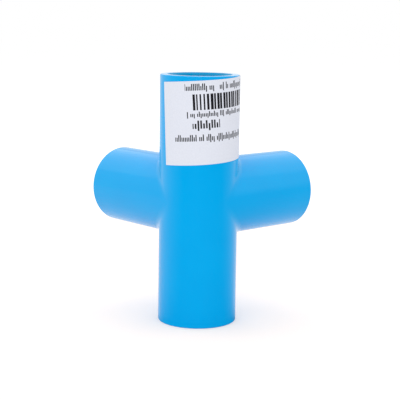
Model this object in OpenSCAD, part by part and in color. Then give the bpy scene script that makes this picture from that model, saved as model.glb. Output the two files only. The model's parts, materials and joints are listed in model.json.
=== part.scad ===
// Four-way right-angle pipe fitting: a straight upright run, and two branches that leave
// its middle square to the run and to each other. All four ends are sockets that a pipe is
// cemented into. The whole fitting is one moulding, with a paper label on the upper socket.
// Origin: middle of the lower rim. +Z: up the run. +X and +Y: out along the branches.

/* [Pipe] */
// Outside diameter of the pipe that the sockets take
pipe_od = 22; // [18:0.5:26]
// Extra diameter of the sockets over the pipe, for the cement
cement_gap = 0.2; // [0.1:0.05:0.6]

/* [Moulding] */
// Wall of the barrels round the sockets
socket_wall = 2.9; // [2:0.1:4]
// Depth of each socket, from its rim to the pipe stop
socket_depth = 30; // [20:0.5:40]
// Ledge at the bottom of each socket that the pipe stops against
stop_ledge = 2.1; // [1:0.1:3]
// Wall between a pipe stop and the side of the sockets round the corner
stop_wall = 2.9; // [2:0.1:5]
// Radius on the outer edge of each rim
rim_radius = 0.4; // [0.2:0.1:1]
// Width of the bevel on the inner edge of each rim
lead_in_width = 0.4; // [0.2:0.1:0.9]
// Depth of that bevel
lead_in_depth = 0.8; // [0.4:0.1:2]
// Radius of the fillets in the crotches where the barrels meet
crotch_radius = 3; // [1:0.25:4]

/* [Label] */
// Angle of the barrel that the label goes round
label_wrap = 147; // [60:1:160]
// Turn of the label's upper left corner, from +X
label_turn = 167.5; // [120:0.5:180]
// Tilt of the label, its right side up
label_tilt = 3.7; // [0:0.1:5]
// Gap between the rim and the label's highest corner
label_rim_gap = 0.1; // [0:0.1:4]
// How far the label's lowest corner reaches below the pipe stop
label_lap = 1; // [-4:0.5:2]
// Thickness of the label's paper
label_thickness = 0.12; // [0.08:0.02:0.3]
// Thickness of the adhesive under the label
adhesive_film = 0.02; // [0.01:0.01:0.1]

/* [Hidden] */
$fn = 96;

// Sockets, pipe stops and the passages behind them
socket_r = (pipe_od + cement_gap) / 2;
passage_r = socket_r - stop_ledge;
barrel_r = socket_r + socket_wall;
stop_reach = socket_r + stop_wall;
reach = stop_reach + socket_depth;
run_height = 2 * reach;
cut_past = 1;

// Directions out of the crossing of the axes
X = [1, 0, 0];
Y = [0, 1, 0];
Z = [0, 0, 1];
outlets = [X, Y, Z, -Z];

// Crotch fillets: facets across, degrees along, where they run out beside the branches,
// how deep their edges bite into the barrels and how deep their inner ridge lies
arc_steps = 5;
seam_step = 5;
seam_end = 70;
corner_turn = 45;
edge_bite = 0.05;
run_out_dip = 0.15;
ridge_depth = socket_wall / 2;
weld = 0.00001;

// Label on the barrel, as a sheet of columns and rows of facets
label_r = barrel_r + adhesive_film;
label_length = label_wrap * PI / 180 * label_r / cos(label_tilt);
label_left_z = run_height - label_rim_gap - label_length * sin(label_tilt);
label_height = (label_left_z - (reach + stop_reach - label_lap)) / cos(label_tilt);
label_columns = 48;
label_rows = 6;

body_colour = [0.05, 0.65, 0.94];
label_colour = [0.89, 0.9, 0.94];

// Places what is drawn along +Z from the crossing of the axes, along one outlet
module along(direction) {
    turn = direction == Z ? [0, 0, 0]
        : direction == -Z ? [180, 0, 0]
        : [0, 90, atan2(direction.y, direction.x)];
    translate([0, 0, reach])
        rotate(turn)
            children();
}

// Outside of one barrel, from the crossing of the axes to its rounded rim
module barrel() {
    rotate_extrude()
        union() {
            square([barrel_r, reach - rim_radius]);
            square([barrel_r - rim_radius, reach]);
            translate([barrel_r - rim_radius, reach - rim_radius])
                circle(rim_radius);
        }
}

// Inside of one outlet: the flow passage, the socket for the pipe and the bevel at its mouth
module bore() {
    cylinder(h = reach, r = passage_r);
    translate([0, 0, stop_reach])
        cylinder(h = socket_depth + cut_past, r = socket_r);
    translate([0, 0, reach - lead_in_depth])
        cylinder(h = lead_in_depth, r1 = socket_r, r2 = socket_r + lead_in_width);
    translate([0, 0, reach])
        cylinder(h = cut_past, r = socket_r + lead_in_width);
}

function unit(v) = v / norm(v);

// The same point for all facets that share it
function welded(p) = [for (v = p) round(v / weld) * weld];

// Point of a ball of the fillet's radius, resting in the crotch with its middle at m, seen along n
function ball_point(m, n, at_edge) = welded(m - (crotch_radius + (at_edge ? edge_bite : 0)) * n);

// Way from the crossing of the axes to the seam of the barrels along a and b,
// at turn t round the seam; c is square to both barrels
function seam_way(a, b, c, t) = cos(t) * (a + b) + sin(t) * c;

// Section of the fillet there: from barrel a over the ball to barrel b, then the inner ridge
function fillet_section(a, b, c, t) =
    let (
        dip = t <= -seam_end ? run_out_dip : 0,
        m = (barrel_r + crotch_radius - dip) * seam_way(a, b, c, t),
        on_a = cos(t) * b + sin(t) * c,
        on_b = cos(t) * a + sin(t) * c
    ) [
        for (k = [0 : arc_steps])
            ball_point(m, unit(on_a * (arc_steps - k) + on_b * k), k == 0 || k == arc_steps),
        welded((barrel_r - ridge_depth) * seam_way(a, b, c, t))
    ];

// Triangles between two sections, and those that close the first one
function band(p, q) = [
    for (i = [0 : len(p) - 1])
        let (j = (i + 1) % len(p))
            each [[p[i], q[j], p[j]], [p[i], q[i], q[j]]]
];
function cap(p) = [for (i = [0 : len(p) - 3]) [p[len(p) - 1], p[i], p[i + 1]]];

// Triangles of the fillet along one seam, from turn t_from to the corner of all three barrels
function seam_fillet(a, b, c, t_from) =
    let (
        sections = [for (t = [t_from : seam_step : corner_turn]) fillet_section(a, b, c, t)],
        bands = [for (i = [1 : len(sections) - 1]) each band(sections[i - 1], sections[i])],
        triangles = t_from == -seam_end ? concat(cap(sections[0]), bands) : bands
    )
    cross(a, b) * c > 0 ? triangles : mirrored(triangles);

function mirrored(triangles) = [for (t = triangles) [t[0], t[2], t[1]]];

// Triangles of the ball that rests against all three barrels, above or below the branches
function corner_fillet(up) =
    let (
        m = (barrel_r + crotch_radius) * seam_way(X, Y, up, corner_turn),
        on_run = cos(corner_turn) * X + sin(corner_turn) * Y,
        on_x = cos(corner_turn) * Y + sin(corner_turn) * up,
        on_y = cos(corner_turn) * X + sin(corner_turn) * up,
        p = [for (i = [0 : arc_steps]) [for (j = [0 : arc_steps - i])
            let (k = arc_steps - i - j)
                ball_point(m, unit(on_run * k + on_x * i + on_y * j), max(i, j, k) == arc_steps)]],
        triangles = [for (i = [0 : arc_steps - 1]) for (j = [0 : arc_steps - 1 - i]) each [
            [p[i][j], p[i][j + 1], p[i + 1][j]],
            if (j < arc_steps - 1 - i) [p[i + 1][j], p[i][j + 1], p[i + 1][j + 1]]
        ]]
    )
    up == Z ? triangles : mirrored(triangles);

// Fillets in all the crotches, as one closed skin
module crotch_fillets() {
    triangles = concat(
        seam_fillet(Z, X, Y, -seam_end),
        seam_fillet(Z, Y, X, -seam_end),
        seam_fillet(-Z, X, Y, -seam_end),
        seam_fillet(-Z, Y, X, -seam_end),
        seam_fillet(X, Y, Z, -corner_turn),
        corner_fillet(Z),
        corner_fillet(-Z)
    );
    translate([0, 0, reach])
        polyhedron(
            points = [for (t = triangles) each t],
            faces = [for (i = [0 : len(triangles) - 1]) [3 * i, 3 * i + 1, 3 * i + 2]]
        );
}

// The fitting itself, with four sockets that open into one another
module moulded_body() {
    color(body_colour)
        difference() {
            union() {
                for (d = outlets)
                    along(d)
                        barrel();
                crotch_fillets();
            }
            for (d = outlets)
                along(d)
                    bore();
        }
}

// Point of the label, u along it and v up from its lower edge, at distance r from the run's axis
function label_point(u, v, r) =
    let (
        down = label_height - v,
        across = u * cos(label_tilt) + down * sin(label_tilt),
        turn = label_turn + across / label_r * 180 / PI
    )
    [r * cos(turn), r * sin(turn), label_left_z + u * sin(label_tilt) - down * cos(label_tilt)];

// Paper label, bent round the upper barrel and stuck on at a slight tilt
module paper_label() {
    sides = [label_r, label_r + label_thickness];
    per_row = label_columns + 1;
    per_side = per_row * (label_rows + 1);
    points = [for (r = sides) for (j = [0 : label_rows]) for (i = [0 : label_columns])
        label_point(i * label_length / label_columns, j * label_height / label_rows, r)];
    inner = [for (j = [0 : label_rows - 1]) for (i = [0 : label_columns - 1])
        let (k = j * per_row + i)
            each [[k, k + 1, k + per_row + 1], [k, k + per_row + 1, k + per_row]]];
    outer = [for (f = inner) [for (k = [2, 1, 0]) f[k] + per_side]];
    rim = concat(
        [for (i = [0 : label_columns]) i],
        [for (j = [1 : label_rows]) j * per_row + label_columns],
        [for (i = [label_columns - 1 : -1 : 0]) label_rows * per_row + i],
        [for (j = [label_rows - 1 : -1 : 1]) j * per_row]
    );
    edge = [for (n = [0 : len(rim) - 1])
        let (a = rim[n], b = rim[(n + 1) % len(rim)])
            each [[b, a, a + per_side], [b, a + per_side, b + per_side]]];
    color(label_colour)
        polyhedron(points = points, faces = concat(inner, outer, edge));
}

moulded_body();
paper_label();
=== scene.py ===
"""Looks of a four-way right-angle pipe fitting: its blue moulding, its paper label and the studio.

Lengths are in metres, in the frame of the CAD part: the origin is the middle of the lower rim,
+Z goes up the run, and +X and +Y go out along the two branches.
"""
import json
import math

import bmesh
import bpy
from mathutils import Matrix, Vector


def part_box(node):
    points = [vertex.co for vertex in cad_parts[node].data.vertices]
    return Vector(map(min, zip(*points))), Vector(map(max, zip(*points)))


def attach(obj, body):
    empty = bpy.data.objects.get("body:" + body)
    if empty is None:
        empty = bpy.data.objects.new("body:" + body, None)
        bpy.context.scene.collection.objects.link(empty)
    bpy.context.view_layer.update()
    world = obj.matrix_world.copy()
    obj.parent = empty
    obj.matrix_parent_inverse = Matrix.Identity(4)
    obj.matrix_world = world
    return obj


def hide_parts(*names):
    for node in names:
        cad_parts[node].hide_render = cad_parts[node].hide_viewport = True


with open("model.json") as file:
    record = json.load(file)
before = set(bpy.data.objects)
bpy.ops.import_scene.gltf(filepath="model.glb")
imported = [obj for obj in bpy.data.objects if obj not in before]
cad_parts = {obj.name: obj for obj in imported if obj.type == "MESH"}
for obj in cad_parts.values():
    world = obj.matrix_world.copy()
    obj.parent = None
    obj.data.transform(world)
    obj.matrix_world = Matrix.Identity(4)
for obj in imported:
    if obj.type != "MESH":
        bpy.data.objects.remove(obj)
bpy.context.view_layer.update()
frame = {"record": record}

MM = 0.001
X = Vector((1, 0, 0))
Y = Vector((0, 1, 0))
Z = Vector((0, 0, 1))
OUTLETS = (X, Y, Z, -Z)

# Sizes of the moulding, measured from the crossing of its axes
mounts = {mount["name"]: mount for mount in frame["record"]["mounts"]}
socket_mouth = Vector(mounts["branch_socket_x"]["pos_m"])
socket_size = mounts["branch_socket_x"]["dims"]
body_low, body_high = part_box("moulded_body")
CROSSING = socket_mouth.project(Z)
REACH = body_high.x
BARREL_R = -body_low.x
SOCKET_R = socket_size["r_mm"] * MM
STOP_REACH = socket_mouth.x - socket_size["length_mm"] * MM
STOP_LEDGE = 2.1 * MM
PASSAGE_R = SOCKET_R - STOP_LEDGE
LEAD_IN_WIDTH = 0.4 * MM
LEAD_IN_DEPTH = REACH - socket_mouth.x
RIM_RADIUS = 0.4 * MM

# Columns round each barrel, the same from every axis, so that the skins meet point to point. Fillets
# run out at the side columns, and all three barrels meet at the corner columns.
COLUMNS = 128
SIDE_COLUMN = COLUMNS // 4
CORNER_COLUMN = COLUMNS // 8

# Crotch fillets: the radius of the ball that rolls along them, and the power by which it grows from
# the corners to the sides. At a power of 1 the fillets would keep all their width up to the sides.
# Below the least cosine, close to the sides, the ball grows no more.
CROTCH_RADIUS = 3 * MM
CROTCH_GROWTH = 0.9
CORNER_COSINE = math.cos(2 * math.pi * CORNER_COLUMN / COLUMNS)
LEAST_COSINE = 0.02

# Steps across a fillet and round a rim, the row where each barrel is plain again beyond its fillets,
# the distance at which points join, and the angle from which an edge is sharp
ARC_STEPS = 10
RIM_STEPS = 6
PLAIN_MARGIN = 1 * MM
PLAIN_ROW = BARREL_R + CROTCH_RADIUS + PLAIN_MARGIN
WELD = 0.001 * MM
SHARP_ANGLE = math.radians(20)

# Mark on the faces inside the sockets and the passages, where the material paints shade
BORE_MARK = "bore"

# Sizes of the label, in its own directions: along it, and down from its upper edge
label_low, label_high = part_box("paper_label")
LABEL_WRAP = math.radians(147)
LABEL_TURN = math.radians(167.5)
LABEL_TILT = math.radians(3.7)
LABEL_THICKNESS = 0.12 * MM
ADHESIVE_FILM = 0.02 * MM
LABEL_R = BARREL_R + ADHESIVE_FILM
LABEL_LENGTH = LABEL_WRAP * LABEL_R / math.cos(LABEL_TILT)
LABEL_LEFT_Z = label_high.z - LABEL_LENGTH * math.sin(LABEL_TILT)
LABEL_HEIGHT = (LABEL_LEFT_Z - label_low.z) / math.cos(LABEL_TILT)

# Faces along the label and down it, and the map on its printed side
LABEL_COLUMNS = 120
LABEL_ROWS = 24
LABEL_MAP = "label_mm"


# Moulding

def directions_round(axis):
    """Unit vectors square to an outlet's axis, one for each column round its barrel."""
    first = Y if axis == X else X
    second = axis.cross(first)
    turns = (2 * math.pi * column / COLUMNS for column in range(COLUMNS))
    return [first * math.cos(turn) + second * math.sin(turn) for turn in turns]


def seam_cosine(direction):
    """Cosine of the turn from a direction square to an outlet's axis to the nearest other outlet, or 0
    where none is near. The seam with that outlet lies so many radii out along the axis."""
    return max(0.0, *(direction.dot(outlet) for outlet in OUTLETS))


def crotch_radius(cosine):
    """Radius of the ball that rolls along a crotch, at a place that has this cosine."""
    return CROTCH_RADIUS * max(1, CORNER_COSINE / max(cosine, LEAST_COSINE)) ** CROTCH_GROWTH


def rim_profile():
    """Radius and height of the rows from the outside of a barrel over its rim to the passage."""
    middle_r, middle_height = BARREL_R - RIM_RADIUS, REACH - RIM_RADIUS
    turns = [math.pi / 2 * step / RIM_STEPS for step in range(RIM_STEPS + 1)]
    return [
        (BARREL_R, PLAIN_ROW),
        *((middle_r + RIM_RADIUS * math.cos(turn), middle_height + RIM_RADIUS * math.sin(turn))
          for turn in turns),
        (SOCKET_R + LEAD_IN_WIDTH, REACH),
        (SOCKET_R, REACH - LEAD_IN_DEPTH),
        (SOCKET_R, STOP_REACH),
        (PASSAGE_R, STOP_REACH),
    ]


def outlet_skin(axis):
    """Rows of points round one outlet, from the crotch fillets over the rim into the crossing."""
    columns = directions_round(axis)
    cosines = [seam_cosine(way) for way in columns]
    fillet_edge = [(BARREL_R, cosine * (BARREL_R + crotch_radius(cosine))) for cosine in cosines]
    level_rows = [[spot] * COLUMNS for spot in rim_profile()]
    crossing_edge = [(PASSAGE_R, cosine * PASSAGE_R) for cosine in cosines]
    return [
        [CROSSING + way * radius + axis * height for way, (radius, height) in zip(columns, row)]
        for row in (fillet_edge, *level_rows, crossing_edge)
    ]


def fillet_point(ball, radius, *normals):
    """Point of the ball that rests in a crotch. The sum of these normals of the barrels points from
    there to the ball's middle."""
    return ball - sum(normals, Vector()).normalized() * radius


def crotch_fillet(a, b, c, first_column):
    """Rows of points on the fillet between barrels a and b, from one column to the corner where all
    three barrels meet. c is square to both barrels."""
    rows = []
    for column in range(first_column, CORNER_COLUMN + 1):
        turn = 2 * math.pi * column / COLUMNS
        on_a = b * math.cos(turn) + c * math.sin(turn)
        on_b = a * math.cos(turn) + c * math.sin(turn)
        radius = crotch_radius(math.cos(turn))
        ball = CROSSING + (on_a + a * math.cos(turn)) * (BARREL_R + radius)
        rows.append([
            fillet_point(ball, radius, on_a * (ARC_STEPS - step), on_b * step)
            for step in range(ARC_STEPS + 1)
        ])
    return rows


def corner_fillet(up):
    """Rows of points on the ball that rests against the run and both branches."""
    on_run, on_x, on_y = ((a + b).normalized() for a, b in ((X, Y), (Y, up), (X, up)))
    radius = crotch_radius(CORNER_COSINE)
    ball = CROSSING + (X + Y + up) * (BARREL_R + radius) * CORNER_COSINE
    return [
        [
            fillet_point(ball, radius, on_run * (ARC_STEPS - i - j), on_x * i, on_y * j)
            for j in range(ARC_STEPS + 1 - i)
        ]
        for i in range(ARC_STEPS + 1)
    ]


def add_rows(bm, rows, closed=False):
    """Faces between rows of points. Each row is as long as the one before it, or one point shorter."""
    verts = [[bm.verts.new(point) for point in row] for row in rows]
    for low, high in zip(verts, verts[1:]):
        count = len(low) if closed else len(low) - 1
        for i in range(count):
            j = (i + 1) % len(low)
            corners = [low[i], low[j], *high[i:i + 1]]
            if j < len(high):
                corners.insert(2, high[j])
            bm.faces.new(corners)


def mark_bores(bm):
    """Marks the faces inside the sockets and the passages, where the material paints shade."""
    mark = bm.faces.layers.float.new(BORE_MARK)
    mouth_r = SOCKET_R + LEAD_IN_WIDTH
    for face in bm.faces:
        place = face.calc_center_median() - CROSSING
        ahead = [axis for axis in OUTLETS if place.dot(axis) > 0]
        face[mark] = any((place - place.project(axis)).length < mouth_r for axis in ahead)


def moulding_mesh():
    """The whole moulding as one closed skin."""
    bm = bmesh.new()
    for axis in OUTLETS:
        add_rows(bm, outlet_skin(axis), closed=True)
    for up in (Z, -Z):
        add_rows(bm, crotch_fillet(up, X, Y, -SIDE_COLUMN))
        add_rows(bm, crotch_fillet(up, Y, X, -SIDE_COLUMN))
        add_rows(bm, corner_fillet(up))
    add_rows(bm, crotch_fillet(X, Y, Z, -CORNER_COLUMN))
    bmesh.ops.remove_doubles(bm, verts=bm.verts, dist=WELD)
    bmesh.ops.recalc_face_normals(bm, faces=bm.faces)
    mark_bores(bm)
    return bm


# Label

def label_point(along, down):
    """Point of the label's back, which is stuck to the barrel."""
    run = along * math.cos(LABEL_TILT) + down * math.sin(LABEL_TILT)
    rise = along * math.sin(LABEL_TILT) - down * math.cos(LABEL_TILT)
    turn = LABEL_TURN + run / LABEL_R
    return Vector((LABEL_R * math.cos(turn), LABEL_R * math.sin(turn), LABEL_LEFT_Z + rise))


def faces_out(face):
    """Whether a face of the label looks away from the run's axis, as only its printed side does."""
    place = face.calc_center_median()
    return face.normal.dot(place - place.project(Z)) > LABEL_R / 2


def label_mesh():
    """The label as a thin sheet. Its face has a map in millimetres: along it, and down from its upper
    edge. On its back and its edges the map stays at zero, where there is no print."""
    bm = bmesh.new()
    label_map = bm.loops.layers.uv.new(LABEL_MAP)
    rows = [
        [(LABEL_LENGTH * i / LABEL_COLUMNS, LABEL_HEIGHT * j / LABEL_ROWS)
         for i in range(LABEL_COLUMNS + 1)]
        for j in range(LABEL_ROWS + 1)
    ]
    add_rows(bm, [[label_point(*spot) for spot in row] for row in rows])
    bm.verts.index_update()
    spots = [spot for row in rows for spot in row]
    for face in bm.faces:
        for loop in face.loops:
            along, down = spots[loop.vert.index]
            loop[label_map].uv = (along / MM, down / MM)
    bm.normal_update()
    bmesh.ops.solidify(bm, geom=bm.faces[:], thickness=LABEL_THICKNESS)
    for face in bm.faces:
        if not faces_out(face):
            for loop in face.loops:
                loop[label_map].uv = (0, 0)
    return bm


# Shading helpers

# Range that most of the noise lies in
NOISE_RANGE = (0.3, 0.7)


def set_inputs(tree, node, inputs):
    """Sets each input of a node, or links it if it is given another node's output."""
    for key, value in inputs.items():
        if isinstance(value, bpy.types.NodeSocket):
            tree.links.new(value, node.inputs[key])
        else:
            node.inputs[key].default_value = value


def add_node(tree, kind, inputs=(), **settings):
    """A new node with these inputs and settings."""
    node = tree.nodes.new(kind)
    for name, value in settings.items():
        setattr(node, name, value)
    set_inputs(tree, node, dict(inputs))
    return node


def add_math(tree, operation, *values):
    return add_node(tree, "ShaderNodeMath", enumerate(values), operation=operation).outputs[0]


def add_product(tree, first, *others):
    for other in others:
        first = add_math(tree, "MULTIPLY", first, other)
    return first


def between(tree, value, low, high):
    """1 where the value lies between low and high, and 0 elsewhere."""
    return add_math(tree, "COMPARE", value, (low + high) / 2, (high - low) / 2)


def map_range(tree, value, first, last, start, end, **settings):
    """A change from start to end as the value goes from first to last."""
    inputs = {"Value": value, "From Min": first, "From Max": last, "To Min": start, "To Max": end}
    return add_node(tree, "ShaderNodeMapRange", inputs, **settings).outputs["Result"]


def fade(tree, value, first, last, start=1.0, end=0.0):
    """A smooth change from start to end as the value goes from first to last."""
    return map_range(tree, value, first, last, start, end, interpolation_type="SMOOTHSTEP")


def object_place(tree):
    """Place of a point on its object."""
    return add_node(tree, "ShaderNodeTexCoord").outputs["Object"]


def split_axes(tree, place):
    return add_node(tree, "ShaderNodeSeparateXYZ", {"Vector": place}).outputs


def distance_of(tree, place):
    """Distance of a place from its object's origin."""
    length = add_node(tree, "ShaderNodeVectorMath", {"Vector": place}, operation="LENGTH")
    return length.outputs["Value"]


def noise(tree, size, detail=3):
    """Smooth noise with blotches of about this size, fixed to the object."""
    inputs = {"Vector": object_place(tree), "Scale": 1 / size, "Detail": detail}
    return add_node(tree, "ShaderNodeTexNoise", inputs).outputs["Fac"]


def spread(tree, value, low=0, high=1):
    """The noise value spread over the range from low to high."""
    return map_range(tree, value, *NOISE_RANGE, low, high)


def cell_noise(tree, column, line):
    """One value for each cell of a grid."""
    cell = add_node(tree, "ShaderNodeCombineXYZ", {"X": column, "Y": line}).outputs["Vector"]
    values = add_node(tree, "ShaderNodeTexWhiteNoise", {"Vector": cell}, noise_dimensions="2D")
    return values.outputs["Value"]


def mix_colours(tree, share, first, second):
    """A mix of two colours. The node has inputs of the same names for other kinds of values, so its
    share and its colours are given by their places."""
    inputs = {0: share, 6: first, 7: second}
    return add_node(tree, "ShaderNodeMix", inputs, data_type="RGBA").outputs[2]


def bump(tree, height, depth, strength):
    inputs = {"Height": height, "Distance": depth, "Strength": strength}
    return add_node(tree, "ShaderNodeBump", inputs).outputs["Normal"]


def new_material(name):
    """A new material, its tree of nodes and its shader."""
    material = bpy.data.materials.new(name)
    material.use_nodes = True
    tree = material.node_tree
    return material, tree, tree.nodes["Principled BSDF"]


# Materials

# PVC: its colours, its gloss, and the sizes of its clouds, its patches of gloss and its grain
PVC_BLUE = (0.0, 0.385, 0.82, 1)
PVC_PALE = (0.0, 0.4, 0.835, 1)
# Painted shade: the darker blue for the faces inside the sockets and passages
PVC_BORE_SHADE = (0.0, 0.35, 0.66, 1)
PVC_SPECULAR = 0.25
PVC_ROUGHNESS = (0.1, 0.13)
CLOUD_SIZE = 12 * MM
PATCH_SIZE = 2.5 * MM
GRAIN_SIZE = 0.35 * MM
GRAIN_DEPTH = 0.01 * MM
GRAIN_STRENGTH = 0.1

# Paper: its colours, its gloss and its fibre
PAPER = (0.76, 0.78, 0.86, 1)
PAPER_FIBRE = (0.72, 0.74, 0.82, 1)
INK = (0.006, 0.006, 0.01, 1)
PAPER_SPECULAR = 0.2
PAPER_ROUGHNESS = (0.5, 0.62)
FIBRE_SIZE = 0.5 * MM
FIBRE_DETAIL = 5
FIBRE_DEPTH = 0.02 * MM
FIBRE_STRENGTH = 0.15

# Print on the label, in millimetres: left and right ends, upper and lower edges, and pitch
BAR_STRIP = (11.7, 34.0, 4.5, 9.9, 1.2)
TICK_ROWS = (
    (9.5, 34.0, 0.95, 3.8, 0.62),
    (9.7, 34.0, 10.4, 12.6, 0.58),
    (11.6, 21.2, 13.4, 16.9, 0.95),
    (5.0, 33.0, 18.2, 21.0, 0.62),
)

# Bars, as shares of their pitch: how late one may start, its least width and what may be added to it
BAR_DELAY = 0.2
BAR_WIDTH = 0.4
BAR_EXTRA = 0.45

# Ticks: their width as a share of their pitch, the shares of them that are left out, that start at
# the top of their row and that end at its foot, and how much the others lose there, as shares of the
# row's height
TICK_WIDTH = 0.6
TICKS_LEFT_OUT = 0.1
TICKS_FROM_TOP = 0.4
TICKS_TO_FOOT = 0.25
TOP_CUT = 0.3
FOOT_CUT = 0.2


def pvc_material():
    """Moulded PVC: even blue with faint clouding, a darker blue painted inside the sockets and
    passages as shade, and a gloss broken by the mould's fine texture.
    """
    material, tree, shader = new_material("moulded_pvc")
    outside = mix_colours(tree, spread(tree, noise(tree, CLOUD_SIZE)), PVC_BLUE, PVC_PALE)
    bore = add_node(tree, "ShaderNodeAttribute", attribute_name=BORE_MARK).outputs["Fac"]
    set_inputs(tree, shader, {
        # Painted shade: the faces inside the sockets and passages take a darker blue
        "Base Color": mix_colours(tree, bore, outside, PVC_BORE_SHADE),
        "Roughness": spread(tree, noise(tree, PATCH_SIZE), *PVC_ROUGHNESS),
        "Specular IOR Level": PVC_SPECULAR,
        "Normal": bump(tree, noise(tree, GRAIN_SIZE), GRAIN_DEPTH, GRAIN_STRENGTH),
    })
    return material


def print_cells(tree, along, pitch):
    """The number of the print's cell that a point lies in, and how far along that cell it lies."""
    place = add_math(tree, "DIVIDE", along, pitch)
    return add_math(tree, "FLOOR", place), add_math(tree, "FRACT", place)


def bar_print(tree, along, down):
    """Ink of a strip of bars, whose places and widths come from two lines of noise."""
    left, right, upper, lower, pitch = BAR_STRIP
    number, part = print_cells(tree, along, pitch)
    delay, extra = (cell_noise(tree, number, line) for line in (1, 2))
    within = add_math(tree, "SUBTRACT", part, add_product(tree, delay, BAR_DELAY))
    width = add_math(tree, "MULTIPLY_ADD", extra, BAR_EXTRA, BAR_WIDTH)
    return add_product(
        tree,
        add_math(tree, "GREATER_THAN", within, 0),
        add_math(tree, "LESS_THAN", within, width),
        between(tree, along, left, right),
        between(tree, down, upper, lower),
    )


def tick_print(tree, along, down, row):
    """Ink of a row of ticks that start and end at uneven heights, with gaps. Each row has lines of
    noise of its own, counted from its upper edge."""
    left, right, upper, lower, pitch = row
    number, part = print_cells(tree, along, pitch)
    inked, low, short = (
        add_math(tree, "GREATER_THAN", cell_noise(tree, number, upper + line), share)
        for line, share in enumerate((TICKS_LEFT_OUT, TICKS_FROM_TOP, TICKS_TO_FOOT))
    )
    top = add_math(tree, "MULTIPLY_ADD", low, TOP_CUT * (lower - upper), upper)
    foot = add_math(tree, "MULTIPLY_ADD", short, FOOT_CUT * (upper - lower), lower)
    return add_product(
        tree,
        add_math(tree, "LESS_THAN", part, TICK_WIDTH),
        inked,
        between(tree, along, left, right),
        add_math(tree, "GREATER_THAN", down, top),
        add_math(tree, "LESS_THAN", down, foot),
    )


def label_material():
    """Paper with a faint fibre, and a print of bars and ticks."""
    material, tree, shader = new_material("printed_paper")
    place = add_node(tree, "ShaderNodeUVMap", uv_map=LABEL_MAP).outputs["UV"]
    along, down, _ = split_axes(tree, place)
    ink = bar_print(tree, along, down)
    for row in TICK_ROWS:
        ink = add_math(tree, "MAXIMUM", ink, tick_print(tree, along, down, row))
    fibre = noise(tree, FIBRE_SIZE, FIBRE_DETAIL)
    paper = mix_colours(tree, spread(tree, fibre), PAPER, PAPER_FIBRE)
    set_inputs(tree, shader, {
        "Base Color": mix_colours(tree, ink, paper, INK),
        "Roughness": spread(tree, fibre, *PAPER_ROUGHNESS),
        "Specular IOR Level": PAPER_SPECULAR,
        "Normal": bump(tree, fibre, FIBRE_DEPTH, FIBRE_STRENGTH),
    })
    return material


# Pieces

def new_object(name, bm, material):
    """A mesh object with one material. The bmesh is used up."""
    mesh = bpy.data.meshes.new(name)
    bm.to_mesh(mesh)
    bm.free()
    mesh.materials.append(material)
    made = bpy.data.objects.new(name, mesh)
    bpy.context.collection.objects.link(made)
    return made


def add_piece(name, bm, material, node):
    """A piece that stands for a CAD node and keeps its place. Its large faces set the shading, so that
    a flat or a barrel stays even up to its fillets."""
    piece = new_object(name, bm, material)
    piece.data.shade_smooth()
    piece.data.set_sharp_from_angle(angle=SHARP_ANGLE)
    normals = piece.modifiers.new("even_normals", "WEIGHTED_NORMAL")
    normals.keep_sharp = True
    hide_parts(node)
    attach(piece, "root")


# Studio

# Camera: where it looks from, round the crossing of the axes, its shifts to its right and up, and the
# level direction from the object to it
CAMERA_AZIMUTH = math.radians(-41.895)
CAMERA_ELEVATION = math.radians(9.661)
CAMERA_ROLL = math.radians(0.85)
CAMERA_DISTANCE = 389.6 * MM
CAMERA_SIDE = 0.607 * MM
CAMERA_LIFT = -0.587 * MM
CAMERA_CLIP = 10 * MM
SENSOR_MM = 36
LENS_MM = 98.53
FRONT = Vector((math.sin(CAMERA_AZIMUTH), -math.cos(CAMERA_AZIMUTH), 0))

# Lamps: turn from the camera's direction, to its right, and height, both in degrees, width, and the
# light that each adds to a white surface that faces it
LAMPS = {
    "front_lamp": (-10, 20, 1.0, 0.28),
    "rear_left_lamp": (-140, 50, 1.0, 0.2),
    "rear_right_lamp": (140, 50, 1.0, 0.17),
}
LAMP_DISTANCE = 0.9

# Room and floor: the room's light on the object, half the floor's width, the floor's colours away from
# the object and near it, and the distances between which the near one gives way
ROOM_LIGHT = 0.86
FLOOR_HALF = 3.0
FLOOR_WHITE = 0.85
FLOOR_PLAIN = (FLOOR_WHITE, FLOOR_WHITE, FLOOR_WHITE, 1)
FLOOR_WARM = (FLOOR_WHITE, 0.76, 0.71, 1)
WARM_FADE = (100 * MM, 400 * MM)

# Finishes of the room, the floor and the card
WHITE = (1, 1, 1, 1)
BLACK = (0, 0, 0, 1)
MATT = {"Roughness": 1.0, "Specular IOR Level": 0.0}

# Dark card: the turn of its middle from the camera's direction, the turns to each side between which
# it fades, and how dark it is near the object. Beyond the distances of BLACK_FROM it is black, and
# fades between turns of its own. It bends up at CARD_R.
DARK_MIDDLE = math.radians(12)
DARK_FADE = (math.radians(50), math.radians(125))
DARK_NEAR = 0.95
BLACK_FADE = (math.radians(60), math.radians(68))
BLACK_FROM = (215 * MM, 260 * MM)
CARD_R = 700 * MM
CARD_HEIGHT = 250 * MM
CARD_LIFT = 0.3 * MM
CARD_COLUMNS = 96


def turned_up(direction, angle):
    """A level direction, turned up by an angle."""
    return direction * math.cos(angle) + Z * math.sin(angle)


def add_camera():
    back = turned_up(FRONT, CAMERA_ELEVATION)
    right = Matrix.Rotation(CAMERA_ROLL, 3, back) @ Z.cross(FRONT)
    up = back.cross(right)
    data = bpy.data.cameras.new("camera")
    data.sensor_width = SENSOR_MM
    data.lens = LENS_MM
    data.clip_start = CAMERA_CLIP
    camera = bpy.data.objects.new("camera", data)
    place = CROSSING + back * CAMERA_DISTANCE + right * CAMERA_SIDE + up * CAMERA_LIFT
    turn = Matrix((right, up, back)).transposed().to_4x4()
    camera.matrix_world = Matrix.Translation(place) @ turn
    bpy.context.collection.objects.link(camera)
    bpy.context.scene.camera = camera


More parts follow.
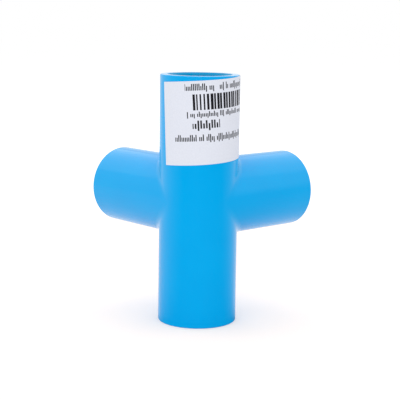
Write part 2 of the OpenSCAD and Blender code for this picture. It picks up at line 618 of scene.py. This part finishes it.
def add_lamp(name, turn, height, width, light):
    """A square soft light that faces the crossing of the axes, with the power that gives its light
    there."""
    level = Matrix.Rotation(math.radians(turn), 3, Z) @ FRONT
    way = turned_up(level, math.radians(height))
    data = bpy.data.lights.new(name, "AREA")
    data.size = width
    data.energy = light * (math.pi * LAMP_DISTANCE) ** 2
    lamp = bpy.data.objects.new(name, data)
    place = Matrix.Translation(CROSSING + way * LAMP_DISTANCE)
    lamp.matrix_world = place @ way.to_track_quat("Z", "Y").to_matrix().to_4x4()
    bpy.context.collection.objects.link(lamp)


def seen_plainly(tree):
    """1 for rays from the camera or from a mirror or glass, which show the plain background."""
    path = add_node(tree, "ShaderNodeLightPath").outputs
    seen = add_math(tree, "MAXIMUM", path["Is Camera Ray"], path["Is Glossy Ray"])
    return add_math(tree, "MAXIMUM", seen, path["Is Transmission Ray"])


def light_room():
    """An even room, white where it is seen and a little darker where it lights the object."""
    world = bpy.data.worlds.new("room")
    world.use_nodes = True
    tree = world.node_tree
    strength = map_range(tree, seen_plainly(tree), 0, 1, ROOM_LIGHT, 1)
    set_inputs(tree, tree.nodes["Background"], {"Color": WHITE, "Strength": strength})
    bpy.context.scene.world = world


def floor_material():
    """White floor that shows the object's shadow, and is as white as the room where it has none.
    Near the object it is seen a little warmer, which evens out the blue light from the object."""
    material, tree, shader = new_material("floor")
    seen = seen_plainly(tree)
    near = fade(tree, distance_of(tree, object_place(tree)), *WARM_FADE)
    set_inputs(tree, shader, {
        **MATT,
        "Base Color": mix_colours(tree, add_product(tree, seen, near), FLOOR_PLAIN, FLOOR_WARM),
        "Emission Color": WHITE,
        "Emission Strength": add_product(tree, seen, 1 - FLOOR_WHITE * ROOM_LIGHT),
    })
    return material


def add_floor():
    bm = bmesh.new()
    add_rows(bm, [[(x * FLOOR_HALF, y * FLOOR_HALF, 0) for x in (-1, 1)] for y in (-1, 1)])
    new_object("floor", bm, floor_material())


def card_material():
    """Black that fades towards the sides and the top, and lets some of the floor near the object
    through."""
    material, tree, shader = new_material("dark_card")
    place = object_place(tree)
    x, y, z = split_axes(tree, place)
    turn = add_math(tree, "ABSOLUTE", add_math(tree, "ARCTAN2", y, x))
    near = add_product(tree, fade(tree, turn, *DARK_FADE), DARK_NEAR)
    beyond = fade(tree, distance_of(tree, place), *BLACK_FROM, 0, 1)
    far = add_product(tree, fade(tree, turn, *BLACK_FADE), beyond)
    dark = add_math(tree, "MAXIMUM", near, far)
    set_inputs(tree, shader, {
        **MATT,
        "Base Color": BLACK,
        "Alpha": add_product(tree, dark, fade(tree, z, 0, CARD_HEIGHT)),
    })
    return material


def add_dark_card():
    """A dark card on the floor, bent up at its far side, which shows only in the object's gloss."""
    bm = bmesh.new()
    turns = [2 * math.pi * column / CARD_COLUMNS for column in range(CARD_COLUMNS)]
    profile = ((BARREL_R, CARD_LIFT), (CARD_R, CARD_LIFT), (CARD_R, CARD_HEIGHT))
    rows = [[(r * math.cos(turn), r * math.sin(turn), z) for turn in turns] for r, z in profile]
    add_rows(bm, rows, closed=True)
    card = new_object("dark_card", bm, card_material())
    card.rotation_euler.z = CAMERA_AZIMUTH - math.pi / 2 + DARK_MIDDLE
    card.visible_camera = False
    card.visible_diffuse = False
    card.visible_shadow = False


add_camera()
light_room()
for lamp, settings in LAMPS.items():
    add_lamp(lamp, *settings)
add_floor()
add_dark_card()
add_piece("fitting_moulding", moulding_mesh(), pvc_material(), "moulded_body")
add_piece("label_sheet", label_mesh(), label_material(), "paper_label")
bpy.context.scene.view_settings.view_transform = "Standard"
